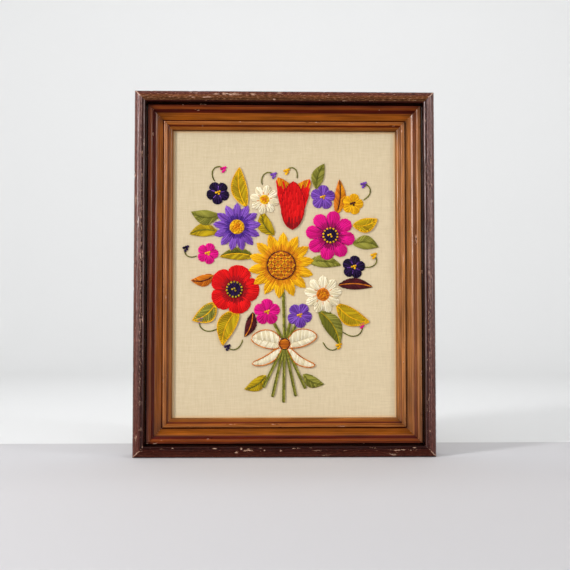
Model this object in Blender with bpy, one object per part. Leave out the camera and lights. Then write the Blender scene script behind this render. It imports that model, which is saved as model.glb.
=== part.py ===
"""Crewel embroidery panel in a mitred wooden picture frame, standing upright and facing -Y.

Tables are in millimetres. Heights in the frame's section are measured forward from its flat back.
"""

import math

import bmesh
import bpy
from mathutils import Vector

MM = 0.001

# Frame and panel
SIGHT_WIDTH = 266.7
SIGHT_HEIGHT = 342.9
MOULDING_WIDTH = 44.45
RABBET_WIDTH = 6.35
RABBET_HEIGHT = 13.5
GAP = 0.3
LINEN_THICKNESS = 1.2
LINEN_MARGIN = 25.0
BOARD_THICKNESS = 3.0

# Worked areas
YARN_HEIGHT = 1.6
HEART_HEIGHT = 1.3
YARN_ROUNDING = 0.5
YARN_CLEARANCE = 0.4

# Face of the moulding from its outer edge to the sight edge: across, height, rise of the arc that
# leads to the point (0 for a straight stretch, negative for a hollow)
MOULDING_FACE = (
    (0.0, 30.35, 0.0),
    (9.0, 37.7, 2.75),
    (10.3, 36.3, 0.25),
    (13.3, 34.1, 0.5),
    (15.4, 27.2, 0.0),
    (15.9, 27.8, 0.0),
    (18.7, 27.7, 0.0),
    (20.9, 26.2, 0.25),
    (24.0, 22.3, 0.0),
    (27.4, 20.4, -0.15),
    (32.2, 20.0, -0.2),
    (32.9, 19.4, 0.0),
    (33.9, 21.9, 0.0),
    (35.7, 22.5, 0.3),
    (36.1, 22.1, 0.0),
    (38.2, 21.4, 0.5),
    (39.9, 19.0, -0.3),
    (43.9, 15.8, 1.2),
    (44.45, 15.0, 0.0),
)
ARC_STEPS = 4

# Flower heads: name, yarn, x, z, radius, notch as a share of it, petals, turn in degrees, pointedness
FLOWERS = (
    ("sunflower", "gold", -4, 10, 40, 0.66, 14, 4, 0.60),
    ("cosmos", "magenta", 55, 46, 30, 0.66, 8, 10, 0.05),
    ("aster", "violet", -57, 56, 29, 0.64, 13, 0, 0.50),
    ("poppy", "scarlet", -60, -19, 30, 0.74, 5, 18, 0.0),
    ("daisy_low", "cream", 46, -25, 23, 0.60, 9, 0, 0.20),
    ("daisy_high", "cream", -24, 89, 18, 0.60, 8, 12, 0.20),
    ("blossom_rose", "magenta", -21, -46, 16, 0.66, 5, 0, 0.0),
    ("blossom_lilac", "violet", 18, -50, 15, 0.66, 5, 30, 0.0),
    ("blossom_plum", "plum", 83, 8, 14, 0.66, 5, 10, 0.0),
    ("blossom_side", "magenta", -92, 24, 13, 0.66, 5, 20, 0.0),
    ("blossom_top", "violet", 46, 92, 15, 0.66, 5, 5, 0.0),
    ("blossom_gold", "gold", 82, 84, 13, 0.66, 5, 15, 0.0),
    ("blossom_dark", "plum", -80, 97, 14, 0.66, 5, 40, 0.0),
)

# Flower hearts, each on a flower head: head, yarn, radius
HEARTS = (
    ("sunflower", "orange", 17),
    ("cosmos", "plum", 9.5),
    ("aster", "gold", 9),
    ("poppy", "plum", 10),
    ("daisy_low", "orange", 8),
    ("daisy_high", "gold", 6),
)

# Leaf-shaped areas, the front ones first: name, yarn, foot x and z, tip x and z, width, bend, fullness
LEAVES = (
    ("bow_left", "cream", -3, -85, -40, -77, 22, -3, 0.55),
    ("bow_right", "cream", 3, -85, 39, -74, 21, 3, 0.55),
    ("tail_left", "cream", -3, -87, -39, -108, 10, 5, 0.40),
    ("tail_right", "cream", 3, -87, 37, -110, 10, -6, 0.40),
    ("tulip_front", "scarlet", 9, 53, 11, 111, 28, 0, 0.58),
    ("tulip_left", "scarlet", 7, 54, -8, 116, 25, -7, 0.58),
    ("tulip_right", "scarlet", 11, 54, 30, 114, 25, 7, 0.58),
    ("leaf_top", "sage", 38, 102, 48, 133, 15, 3, 0.9),
    ("leaf_orange", "orange", 62, 70, 66, 114, 14, -3, 0.9),
    ("leaf_upper_right", "olive", 82, 58, 112, 66, 17, -4, 0.9),
    ("leaf_right", "sage", 82, 36, 113, 32, 17, 4, 0.9),
    ("leaf_mid_right", "maroon", 64, -14, 106, -16, 14, 3, 0.9),
    ("leaf_low_right", "olive", 62, -36, 102, -58, 21, -6, 0.9),
    ("leaf_down_right", "sage", 40, -44, 66, -86, 21, 6, 0.9),
    ("leaf_inner_right", "sage", 28, 14, 68, 10, 15, 3, 0.9),
    ("leaf_inner_high", "olive", -12, 46, -26, 76, 17, 6, 0.9),
    ("leaf_crown", "olive", -46, 80, -54, 128, 19, 5, 0.9),
    ("leaf_upper_left", "sage", -78, 70, -112, 74, 18, 5, 0.9),
    ("leaf_left", "olive", -80, 50, -114, 47, 16, -4, 0.9),
    ("leaf_inner_left", "olive", -36, 20, -78, 20, 15, -4, 0.9),
    ("leaf_mid_left", "orange", -84, -2, -112, -8, 14, 4, 0.9),
    ("leaf_low_left", "sage", -82, -34, -110, -56, 20, 5, 0.9),
    ("leaf_down_left", "olive", -54, -42, -74, -86, 22, -6, 0.9),
    ("leaf_maroon", "maroon", -38, -46, -48, -76, 13, 3, 0.9),
    ("leaf_stem_left", "olive", -22, -121, -48, -138, 15, 4, 0.9),
    ("leaf_stem_right", "sage", 22, -120, 47, -132, 14, -4, 0.9),
)

# Stem bundles: name, middle x and z, stem width, then the length and angle of each stem
STEMS = (
    ("stems_above", 0, -84, 3.4, ((36, -27), (62, -1.5), (34, 15), (34, 31))),
    ("stems_below", 0, -84, 3.4, ((58, 155), (63, 168), (69, 181), (64, 193), (57, 206))),
)

BOW_KNOT = ("bow_knot", "orange", 0, -84, 6.5)

COLOURS = {
    "wood": (0.235, 0.085, 0.030),
    "board": (0.30, 0.20, 0.12),
    "linen": (0.72, 0.59, 0.42),
    "gold": (0.90, 0.50, 0.01),
    "orange": (0.62, 0.19, 0.01),
    "scarlet": (0.78, 0.02, 0.02),
    "magenta": (0.78, 0.02, 0.25),
    "violet": (0.23, 0.09, 0.56),
    "plum": (0.030, 0.008, 0.075),
    "maroon": (0.08, 0.008, 0.016),
    "olive": (0.36, 0.34, 0.02),
    "sage": (0.24, 0.32, 0.06),
    "cream": (0.86, 0.78, 0.58),
}
STEM_YARN = "sage"

OUTER_WIDTH = SIGHT_WIDTH + 2 * MOULDING_WIDTH
OUTER_HEIGHT = SIGHT_HEIGHT + 2 * MOULDING_WIDTH
PANEL_WIDTH = SIGHT_WIDTH + 2 * (RABBET_WIDTH - GAP)
PANEL_HEIGHT = SIGHT_HEIGHT + 2 * (RABBET_WIDTH - GAP)
LINEN_FRONT = RABBET_HEIGHT - GAP


def clear_scene():
    for old in list(bpy.data.objects):
        bpy.data.objects.remove(old, do_unlink=True)


def new_collection(name):
    collection = bpy.data.collections.new(name)
    bpy.context.scene.collection.children.link(collection)
    return collection


def material(name):
    if name in bpy.data.materials:
        return bpy.data.materials[name]
    made = bpy.data.materials.new(name)
    made.use_nodes = True
    shader = made.node_tree.nodes["Principled BSDF"]
    shader.inputs["Base Color"].default_value = (*COLOURS[name], 1.0)
    shader.inputs["Roughness"].default_value = 0.4 if name == "wood" else 0.9
    return made


def finish(mesh_data, name, colour, collection):
    """Turn a bmesh in millimetres into an object in metres."""
    bmesh.ops.scale(mesh_data, vec=(MM, MM, MM), verts=mesh_data.verts)
    bmesh.ops.recalc_face_normals(mesh_data, faces=mesh_data.faces)
    mesh = bpy.data.meshes.new(name)
    mesh_data.to_mesh(mesh)
    mesh_data.free()
    piece = bpy.data.objects.new(name, mesh)
    if colour:
        mesh.materials.append(material(colour))
    collection.objects.link(piece)
    return piece


def arc(start, end, rise, steps):
    """Points after start along a shallow arc to end that rises above its chord."""
    if rise == 0:
        return [end]
    along = Vector(end) - Vector(start)
    over = Vector((-along.y, along.x)).normalized()
    half = along.length / 2
    radius = (half * half + rise * rise) / (2 * abs(rise))
    reach = math.asin(min(1.0, half / radius))
    points = []
    for step in range(1, steps + 1):
        angle = -reach + 2 * reach * step / steps
        forward = radius * math.sin(angle)
        lift = radius * math.cos(angle) - (radius - abs(rise))
        place = (Vector(start) + Vector(end)) / 2 + along.normalized() * forward
        points.append(tuple(place + over * math.copysign(lift, rise)))
    return points


def moulding_section():
    """Closed section of the moulding: across from the outer edge, and height above the back."""
    section = [(0.0, 0.0)]
    for across, height, rise in MOULDING_FACE:
        section.extend(arc(section[-1], (across, height), rise, ARC_STEPS))
    rabbet_side = MOULDING_WIDTH - RABBET_WIDTH
    section.append((MOULDING_WIDTH, RABBET_HEIGHT))
    section.append((rabbet_side, RABBET_HEIGHT))
    section.append((rabbet_side, 0.0))
    return section


SECTION = moulding_section()
FRAME_DEPTH = max(height for across, height in SECTION)
BACK_Y = FRAME_DEPTH / 2


def rail(name, corner, along, inward, length, collection):
    """One length of moulding, its section swept along and cut at 45 degrees at both ends."""
    body = bmesh.new()
    start = []
    for across, height in SECTION:
        mitre = across + GAP / 2
        place = corner + inward * across + along * mitre + Vector((0, BACK_Y - height, 0))
        start.append(body.verts.new(place))
    body.faces.new(start)
    swept = bmesh.ops.extrude_face_region(body, geom=body.faces[:])["geom"]
    for vert in swept:
        if isinstance(vert, bmesh.types.BMVert):
            mitre = (vert.co - corner).dot(inward) + GAP / 2
            vert.co += along * (length - 2 * mitre)
    return finish(body, name, "wood", collection)


def build_frame(collection):
    across, up = Vector((1, 0, 0)), Vector((0, 0, 1))
    low_left = Vector((-OUTER_WIDTH / 2, 0, 0))
    low_right = Vector((OUTER_WIDTH / 2, 0, 0))
    high_left = Vector((-OUTER_WIDTH / 2, 0, OUTER_HEIGHT))
    rail("rail_bottom", low_left, across, up, OUTER_WIDTH, collection)
    rail("rail_top", high_left, across, -up, OUTER_WIDTH, collection)
    rail("rail_left", low_left, up, across, OUTER_HEIGHT, collection)
    rail("rail_right", low_right, up, -across, OUTER_HEIGHT, collection)


def block(name, width, height, front, thickness, colour, collection):
    """A flat box centred on the opening, its front face at a height above the frame's back."""
    body = bmesh.new()
    bmesh.ops.create_cube(body, size=1.0)
    bmesh.ops.scale(body, vec=(width, thickness, height), verts=body.verts)
    middle = (0, BACK_Y - front + thickness / 2, OUTER_HEIGHT / 2)
    bmesh.ops.translate(body, vec=middle, verts=body.verts)
    return finish(body, name, colour, collection)


def cut(piece, cutter):
    cutter.hide_render = True
    cutter.display_type = "WIRE"
    modifier = piece.modifiers.new("cut by " + cutter.name, "BOOLEAN")
    modifier.operation = "DIFFERENCE"
    modifier.solver = "EXACT"
    modifier.object = cutter


def build_panel(collection, cutters):
    """The board, and the linen folded round its edges and on to its back."""
    sleeve = LINEN_THICKNESS + GAP
    depth = BOARD_THICKNESS + 2 * sleeve
    board_size = (PANEL_WIDTH - 2 * sleeve, PANEL_HEIGHT - 2 * sleeve)
    block("mount_board", *board_size, LINEN_FRONT - sleeve, BOARD_THICKNESS, "board", collection)
    linen = block("linen_panel", PANEL_WIDTH, PANEL_HEIGHT, LINEN_FRONT, depth, "linen", collection)
    pocket_size = (PANEL_WIDTH - 2 * LINEN_THICKNESS, PANEL_HEIGHT - 2 * LINEN_THICKNESS)
    pocket_front = LINEN_FRONT - LINEN_THICKNESS
    pocket_depth = depth - 2 * LINEN_THICKNESS
    pocket = block("board_pocket", *pocket_size, pocket_front, pocket_depth, None, cutters)
    window_size = (PANEL_WIDTH - 2 * LINEN_MARGIN, PANEL_HEIGHT - 2 * LINEN_MARGIN)
    window_front = LINEN_FRONT - depth / 2
    window = block("back_window", *window_size, window_front, depth, None, cutters)
    cut(linen, pocket)
    cut(linen, window)


def flower_outline(x, z, radius, notch, petals, turn, pointedness, extra):
    """Petal tips at the radius, with notches between them."""
    outline = []
    steps = 6 if petals > 6 else 8
    phases = [math.sin(math.pi / 2 * (2 * step / steps - 1)) for step in range(1, steps + 1)]
    for petal in range(petals):
        for phase in phases:
            angle = math.radians(turn) + (petal + phase / 2) * math.tau / petals
            rounded = math.sqrt(1 - phase * phase)
            pointed = 1 - abs(phase)
            swell = rounded + (pointed - rounded) * pointedness
            reach = radius * (notch + (1 - notch) * swell) + extra
            outline.append((x + reach * math.sin(angle), z + reach * math.cos(angle)))
    return outline


def disc_outline(x, z, radius, extra, points=20):
    reach = radius + extra
    turns = [math.tau * step / points for step in range(points)]
    return [(x + reach * math.sin(turn), z + reach * math.cos(turn)) for turn in turns]


def leaf_outline(foot, tip, width, bend, fullness, extra):
    """Two mirrored edges about a midrib that bows sideways by the bend."""
    foot, tip = Vector(foot), Vector(tip)
    along = (tip - foot).normalized()
    side = Vector((-along.y, along.x))
    foot, tip = foot - along * extra, tip + along * extra
    near, far = [], []
    for share in (0.07, 0.18, 0.32, 0.46, 0.60, 0.74, 0.86, 0.95):
        rib = foot.lerp(tip, share) + side * bend * 4 * share * (1 - share)
        half = width / 2 * math.sin(math.pi * share ** 0.9) ** fullness + extra
        near.append(tuple(rib + side * half))
        far.append(tuple(rib - side * half))
    return [tuple(foot), *near, tuple(tip), *reversed(far)]


def stems_outline(x, z, width, stems, extra):
    """Stems that spread from one point, as a single fan with a fork between neighbours."""
    outline = []
    half = width / 2 + extra
    for index, (length, degrees) in enumerate(stems):
        angle = math.radians(degrees)
        along = Vector((math.sin(angle), math.cos(angle)))
        side = Vector((along.y, -along.x))
        middle = Vector((x, z))
        end = middle + along * length
        outline.append(tuple(end - side * half))
        outline.append(tuple(end + along * half * 0.6))
        outline.append(tuple(end + side * half))
        if index + 1 < len(stems):
            spread = math.radians(stems[index + 1][1] - degrees) / 2
            fork = half / math.sin(abs(spread))
            way = angle + spread
            outline.append(tuple(middle + fork * Vector((math.sin(way), math.cos(way)))))
    outline.append((x, z))
    return outline


def pad(name, outline, base, height, colour, collection):
    """A low pad of yarn: the outline raised to a height, its front edge eased."""
    body = bmesh.new()
    back = [body.verts.new((x, BACK_Y - base, OUTER_HEIGHT / 2 + z)) for x, z in outline]
    body.faces.new(back)
    body.faces.ensure_lookup_table()
    front = bmesh.ops.extrude_face_region(body, geom=[body.faces[0]])["geom"]
    front_verts = [part for part in front if isinstance(part, bmesh.types.BMVert)]
    front_faces = [part for part in front if isinstance(part, bmesh.types.BMFace)]
    rise = height - YARN_ROUNDING
    bmesh.ops.translate(body, vec=(0, -rise, 0), verts=front_verts)
    bmesh.ops.recalc_face_normals(body, faces=body.faces)
    bmesh.ops.inset_region(
        body, faces=front_faces, thickness=YARN_ROUNDING, depth=YARN_ROUNDING, use_even_offset=False
    )
    return finish(body, name, colour, collection)


def clearance(name, outline, cutters):
    """A tall body that keeps what lies behind clear of a pad."""
    body = bmesh.new()
    low = BACK_Y - LINEN_FRONT + GAP
    back = [body.verts.new((x, low, OUTER_HEIGHT / 2 + z)) for x, z in outline]
    body.faces.new(back)
    front = bmesh.ops.extrude_face_region(body, geom=body.faces[:])["geom"]
    front_verts = [part for part in front if isinstance(part, bmesh.types.BMVert)]
    bmesh.ops.translate(body, vec=(0, -3 * YARN_HEIGHT, 0), verts=front_verts)
    return finish(body, name, None, cutters)


def worked_areas():
    """Every area worked on the linen itself, the front ones first: name, yarn, outline maker."""
    name, yarn, x, z, radius = BOW_KNOT
    yield name, yarn, lambda extra: disc_outline(x, z, radius, extra)
    for name, yarn, *shape in FLOWERS:
        yield name, yarn, lambda extra, shape=shape: flower_outline(*shape, extra)
    for name, *shape in STEMS:
        yield name, STEM_YARN, lambda extra, shape=shape: stems_outline(*shape, extra)
    for name, yarn, foot_x, foot_z, tip_x, tip_z, *shape in LEAVES:
        ends = (foot_x, foot_z), (tip_x, tip_z)
        yield name, yarn, lambda extra, ends=ends, shape=shape: leaf_outline(*ends, *shape, extra)


def overlap(first, second):
    """Whether the bounding boxes of two outlines meet."""
    for axis in (0, 1):
        if max(p[axis] for p in first) < min(p[axis] for p in second):
            return False
        if max(p[axis] for p in second) < min(p[axis] for p in first):
            return False
    return True


def build_embroidery(collection, cutters):
    """Pads on the linen, each cut back from those worked in front of it, then the hearts."""
    base = LINEN_FRONT + GAP
    in_front = []
    for name, yarn, outline_with in worked_areas():
        outline = outline_with(0.0)
        piece = pad(name, outline, base, YARN_HEIGHT, yarn, collection)
        for other_name, other_outline_with in in_front:
            grown = other_outline_with(YARN_CLEARANCE)
            if overlap(outline, grown):
                cutter_name = "clear_of_" + other_name
                cutter = cutters.objects.get(cutter_name) or clearance(cutter_name, grown, cutters)
                cut(piece, cutter)
        in_front.append((name, outline_with))
    heads = {name: (x, z) for name, yarn, x, z, *shape in FLOWERS}
    for head, yarn, radius in HEARTS:
        outline = disc_outline(*heads[head], radius, 0.0)
        heart_base = base + YARN_HEIGHT + GAP
        pad(head + "_heart", outline, heart_base, HEART_HEIGHT, yarn, collection)


def main():
    clear_scene()
    collection = new_collection("crewel embroidery panel")
    cutters = new_collection("cutters")
    build_frame(collection)
    build_panel(collection, cutters)
    build_embroidery(collection, cutters)


main()
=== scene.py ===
import math
import random

import bmesh
import bpy
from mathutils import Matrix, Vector, noise


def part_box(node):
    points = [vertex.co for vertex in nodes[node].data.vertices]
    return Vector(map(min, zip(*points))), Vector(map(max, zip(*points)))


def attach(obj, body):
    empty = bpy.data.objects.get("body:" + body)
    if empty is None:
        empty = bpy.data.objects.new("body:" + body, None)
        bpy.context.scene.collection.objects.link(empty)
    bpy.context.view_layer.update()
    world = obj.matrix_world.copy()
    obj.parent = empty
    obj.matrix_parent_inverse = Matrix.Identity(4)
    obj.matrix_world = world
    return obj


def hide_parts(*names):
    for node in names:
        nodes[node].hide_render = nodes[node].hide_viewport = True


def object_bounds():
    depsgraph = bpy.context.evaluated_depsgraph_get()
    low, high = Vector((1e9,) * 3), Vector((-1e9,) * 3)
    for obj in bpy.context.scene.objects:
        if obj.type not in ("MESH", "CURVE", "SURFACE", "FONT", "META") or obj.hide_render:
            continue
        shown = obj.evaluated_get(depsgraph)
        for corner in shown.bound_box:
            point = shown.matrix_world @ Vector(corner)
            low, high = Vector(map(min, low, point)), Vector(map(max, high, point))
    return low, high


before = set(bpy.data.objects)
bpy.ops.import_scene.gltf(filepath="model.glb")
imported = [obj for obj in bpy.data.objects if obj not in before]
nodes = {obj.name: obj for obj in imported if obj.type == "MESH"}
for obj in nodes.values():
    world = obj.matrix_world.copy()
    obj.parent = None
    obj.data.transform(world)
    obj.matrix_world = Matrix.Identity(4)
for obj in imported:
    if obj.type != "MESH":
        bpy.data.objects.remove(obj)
cad_low, cad_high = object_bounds()

# Camera
# A long lens a little over a metre in front of the picture and below its middle, turned slightly to the
# right and up, set so that the frame's corners fall where they do in the photograph.
MM = 0.001
PICTURE_SIDE_PX = 570
FOCAL_LENGTH_PX = 900
CAMERA_PLACE = Vector((-0.0263, -1.0714, 0.1555))
CAMERA_WAY = Vector((0.0249, 0.9987, 0.0434))

camera_data = bpy.data.cameras.new("camera")
camera_data.sensor_width = 36.0
camera_data.lens = camera_data.sensor_width * FOCAL_LENGTH_PX / PICTURE_SIDE_PX
camera = bpy.data.objects.new("camera", camera_data)
camera.location = CAMERA_PLACE
camera.rotation_euler = CAMERA_WAY.to_track_quat("-Z", "Y").to_euler()
bpy.context.scene.collection.objects.link(camera)
bpy.context.scene.camera = camera
bpy.context.scene.view_settings.view_transform = "Standard"


# Floor and backdrop
# A pale matt tabletop that ends a little behind the frame, and a sweep of studio paper on every side that
# curves up into a wall far behind the object.
FLOOR_RADIUS = 2.6
SWEEP_RADIUS = 0.8
WALL_HEIGHT = 3.0
PAPER_COLOUR = "EAEAE9"
TABLE_COLOUR = "CFCDCE"
TABLE_END = 0.115
CURVE_STEPS = 8
ROUND_STEPS = 64


def linear(hex_colour):
    """An sRGB hex colour as the linear RGBA that a shader takes."""
    channels = []
    for place in (0, 2, 4):
        share = int(hex_colour[place:place + 2], 16) / 255
        channels.append(share / 12.92 if share <= 0.04045 else ((share + 0.055) / 1.055) ** 2.4)
    return (*channels, 1.0)


def new_material(name):
    """A material with its node tree and its shader."""
    made = bpy.data.materials.new(name)
    made.use_nodes = True
    return made, made.node_tree, made.node_tree.nodes["Principled BSDF"]


def add_node(tree, kind, inputs, **settings):
    """Adds a shader node with its settings, and gives each input a value or a link."""
    node = tree.nodes.new(kind)
    for name, value in settings.items():
        setattr(node, name, value)
    for socket, value in inputs.items():
        if isinstance(value, bpy.types.NodeSocket):
            tree.links.new(value, node.inputs[socket])
        else:
            node.inputs[socket].default_value = value
    return node


def add_piece(name, mesh):
    """A mesh as an object at the origin."""
    made = bpy.data.objects.new(name, mesh)
    bpy.context.scene.collection.objects.link(made)
    return made


def mesh_from(body, name, materials, smooth=True):
    """A bmesh as a mesh with its materials."""
    mesh = bpy.data.meshes.new(name)
    body.to_mesh(mesh)
    body.free()
    for one in materials:
        mesh.materials.append(one)
    for face in mesh.polygons:
        face.use_smooth = smooth
    return mesh


def stage_paint(name, colour):
    """A plain matt finish."""
    made, _, shader = new_material(name)
    shader.inputs["Base Color"].default_value = linear(colour)
    shader.inputs["Roughness"].default_value = 0.9
    shader.inputs["Specular IOR Level"].default_value = 0.2
    return made


paper = stage_paint("matt studio paper", PAPER_COLOUR)
tabletop = stage_paint("matt white tabletop", TABLE_COLOUR)

sweep = bmesh.new()
profile = [sweep.verts.new((0, 0, 0)), sweep.verts.new((FLOOR_RADIUS - SWEEP_RADIUS, 0, 0))]
for step in range(1, CURVE_STEPS + 1):
    turn = math.pi / 2 * step / CURVE_STEPS
    across = FLOOR_RADIUS - SWEEP_RADIUS + SWEEP_RADIUS * math.sin(turn)
    profile.append(sweep.verts.new((across, 0, SWEEP_RADIUS * (1 - math.cos(turn)))))
profile.append(sweep.verts.new((FLOOR_RADIUS, 0, WALL_HEIGHT)))
edges = [sweep.edges.new(pair) for pair in zip(profile, profile[1:])]
bmesh.ops.spin(
    sweep, geom=profile + edges, cent=(0, 0, 0), axis=(0, 0, 1), angle=math.tau,
    steps=ROUND_STEPS, use_merge=True,
)
bmesh.ops.remove_doubles(sweep, verts=sweep.verts, dist=0.0001)
bmesh.ops.bisect_plane(
    sweep, geom=sweep.verts[:] + sweep.edges[:] + sweep.faces[:],
    plane_co=(0, TABLE_END, 0), plane_no=(0, 1, 0),
)
for face in sweep.faces:
    level = max(vert.co.z for vert in face.verts) < 0.001
    face.material_index = int(level and face.calc_center_median().y < TABLE_END)
add_piece("studio_sweep", mesh_from(sweep, "studio sweep", [paper, tabletop]))


# Light
# A tall narrow window of light on the left, a weaker one on the right, a broad one overhead, one that
# washes the wall behind, and a weak plain surround.
MIDDLE_Z = (cad_low.z + cad_high.z) / 2
FRAME_MIDDLE = (0.0, 0.0, MIDDLE_Z)
# Light, place and aim in metres, width and height in metres, watts
LIGHTS = (
    ("key", (-1.4, -1.1, 0.8), FRAME_MIDDLE, 0.24, 1.1, 28.0),
    ("fill", (1.6, -1.0, 0.7), FRAME_MIDDLE, 0.16, 1.1, 9.0),
    ("overhead", (0.0, -0.8, 2.0), FRAME_MIDDLE, 1.4, 1.4, 15.0),
    ("wall_wash", (0.0, 0.7, 2.0), (0.0, 2.6, 0.4), 1.5, 1.5, 20.0),
)
SURROUND_STRENGTH = 0.1
DAYLIGHT = (0.97, 0.98, 1.0)

for name, place, target, width, height, power in LIGHTS:
    lamp = bpy.data.lights.new(name, "AREA")
    lamp.shape = "RECTANGLE"
    lamp.size, lamp.size_y = width, height
    lamp.energy = power
    lamp.color = DAYLIGHT
    light = bpy.data.objects.new(name, lamp)
    light.location = place
    aim = Vector(target) - Vector(place)
    light.rotation_euler = aim.to_track_quat("-Z", "Y").to_euler()
    bpy.context.scene.collection.objects.link(light)

surround = bpy.data.worlds.new("weak plain surround")
surround.use_nodes = True
surround.node_tree.nodes["Background"].inputs["Color"].default_value = linear("FFFFFF")
surround.node_tree.nodes["Background"].inputs["Strength"].default_value = SURROUND_STRENGTH
bpy.context.scene.world = surround


# Frame
# Four lengths of softwood moulding, stained dark outside and warmer towards the picture, under a satin
# varnish. Their ends are cut at 45 degrees and glued, and their raised edges are rubbed and chipped.
MOULDING_WIDTH = (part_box("rail_bottom")[1].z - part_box("rail_bottom")[0].z) / MM
OUTER_WIDTH = (cad_high.x - cad_low.x) / MM
OUTER_HEIGHT = (cad_high.z - cad_low.z) / MM
BACK_Y = cad_high.y
RABBET_WIDTH = 6.35
RABBET_HEIGHT = 13.5
# Face of the moulding: across from the outer edge, height above the back, rise of the arc that leads
# there, in millimetres
MOULDING_FACE = (
    (0.0, 30.35, 0.0),
    (9.0, 37.7, 2.75),
    (10.3, 36.3, 0.25),
    (13.3, 34.1, 0.5),
    (15.4, 27.2, 0.0),
    (15.9, 27.8, 0.0),
    (18.7, 27.7, 0.0),
    (20.9, 26.2, 0.25),
    (24.0, 22.3, 0.0),
    (27.4, 20.4, -0.15),
    (32.2, 20.0, -0.2),
    (32.9, 19.4, 0.0),
    (33.9, 21.9, 0.0),
    (35.7, 22.5, 0.3),
    (36.1, 22.1, 0.0),
    (38.2, 21.4, 0.5),
    (39.9, 19.0, -0.3),
    (43.9, 15.8, 1.2),
    (44.45, 15.0, 0.0),
)
# Facets of an arc of the section, and millimetres of moulding between two rows of vertices
ARC_STEPS = 6
RAIL_STEP = 1.8
# Edges of the section that turn more than this stay sharp
SHARP_DEGREES = 32
# The outer bead stands higher than this above the back and lies within this of the outer edge, and the
# deep groove inside it ends here
BEAD_LEVEL = 26
BEAD_WIDTH = 12
GROOVE_END = 15.5
# Stain of each part of the face: from, to across it in millimetres, colour
STAIN = (
    (0.0, 6.5, "532519"),
    (7.5, 9.4, "42180F"),
    (10.2, 12.9, "34110B"),
    (13.6, 15.3, "0C0201"),
    (15.9, 17.6, "5C2612"),
    (18.2, 20.4, "74350F"),
    (21.1, 23.7, "4C1306"),
    (24.6, 31.8, "84450E"),
    (32.5, 33.5, "4A1403"),
    (34.3, 35.6, "965A2C"),
    (36.3, 37.9, "8E4E1C"),
    (38.6, 39.6, "5C1E07"),
    (40.4, 43.3, "864A16"),
    (43.8, 45.0, "8A5A30"),
)
# Painted light: bands of the stain drawn paler, most on the right rail's faces that turn towards the light
# from the left: rail, from and to across the face, share
PAINTED_LIGHT_BANDS = (
    ("rail_top", 5.0, 12.0, 0.12),
    ("rail_left", 33.8, 43.0, 0.12),
    ("rail_right", 15.8, 20.8, 0.4),
    ("rail_right", 20.8, 24.1, 0.14),
    ("rail_right", 24.1, 32.3, 0.27),
    ("rail_right", 32.3, 33.8, 0.08),
    ("rail_right", 33.8, 43.0, 0.28),
)
PAINTED_LIGHT_COLOUR = "CA9054"
# Millimetres over which the painted light on an upright rail grows from its foot, and from its top
PAINTED_LIGHT_FROM_FOOT = 170
PAINTED_LIGHT_FROM_TOP = 120
# Painted reflection: a grey sheen that stands in for the window light on the upright rails' beads,
# strongest high up: rail, from and to across the face, share at its top and bottom end
PAINTED_SHEEN_BANDS = (
    ("rail_left", -0.1, 6.2, 0.1, 0.0),
    ("rail_left", 6.2, 9.2, 0.3, 0.0),
    ("rail_left", 11.2, 12.7, 0.36, 0.0),
    ("rail_right", -0.1, 6.2, 0.18, 0.03),
    ("rail_right", 6.2, 9.2, 0.34, 0.05),
    ("rail_right", 11.2, 12.7, 0.42, 0.05),
)
PAINTED_SHEEN_COLOUR = "A08680"
# Height at which the painted sheen starts, and how far above that it is full
PAINTED_SHEEN_START = 20
PAINTED_SHEEN_REACH = 230
# Chips and rubbed strips: rail, along it, across its face, half length, half width, strength
CHIPS = (
    ("rail_top", 114, 5.2, 15, 1.6, 1.0),
    ("rail_top", 140, 5.4, 5, 1.7, 1.0),
    ("rail_top", 126, 8.0, 4, 1.3, 0.8),
    ("rail_top", 165, 10.8, 2.6, 0.9, 1.0),
    ("rail_top", 205, 34.8, 2.2, 1.0, 0.8),
    ("rail_bottom", 121, 7.2, 2.6, 1.8, 1.0),
    ("rail_bottom", 127, 10.9, 2.0, 1.3, 1.0),
    ("rail_bottom", 135, 8.8, 8, 2.2, 0.85),
    ("rail_bottom", 150, 8.4, 0.9, 1.2, 1.0),
    ("rail_bottom", 154, 8.4, 0.9, 1.2, 1.0),
    ("rail_bottom", 163, 8.4, 0.9, 1.2, 0.9),
    ("rail_bottom", 173, 8.4, 1.8, 1.3, 1.0),
    ("rail_bottom", 313, 8.8, 1.3, 1.2, 1.0),
    ("rail_bottom", 325, 8.8, 1.3, 1.2, 1.0),
    ("rail_left", 210, 9.4, 180, 1.5, 0.68),
    ("rail_left", 250, 9.9, 3, 0.8, 0.85),
    ("rail_left", 268, 10.2, 5, 0.8, 0.9),
    ("rail_left", 292, 10.4, 3, 0.7, 0.8),
    ("rail_left", 330, 10.2, 4, 0.8, 0.85),
    ("rail_left", 355, 10.0, 6, 0.7, 0.8),
    ("rail_right", 170, 8.0, 170, 1.7, 0.66),
    ("rail_right", 31, 8.6, 2, 1.0, 0.9),
    ("rail_right", 54, 8.2, 2.5, 1.2, 1.0),
    ("rail_right", 68, 9.5, 3, 0.9, 0.85),
    ("rail_right", 84, 8.0, 5, 0.7, 0.75),
)
# Raised lines where small nicks are scattered: place across the face, how many to a rail
NICK_LINES = ((2.6, 6), (5.2, 12), (8.6, 26), (11.6, 18), (15.9, 4), (21.0, 3), (34.8, 6), (37.6, 3))
# Wear of the whole outer bead from handling, and how far from a mitre its edges are worn
HANDLED = {"rail_top": 0.46, "rail_bottom": 0.3, "rail_left": 0.3, "rail_right": 0.3}
MITRE_WEAR_REACH = 0.9
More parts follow.
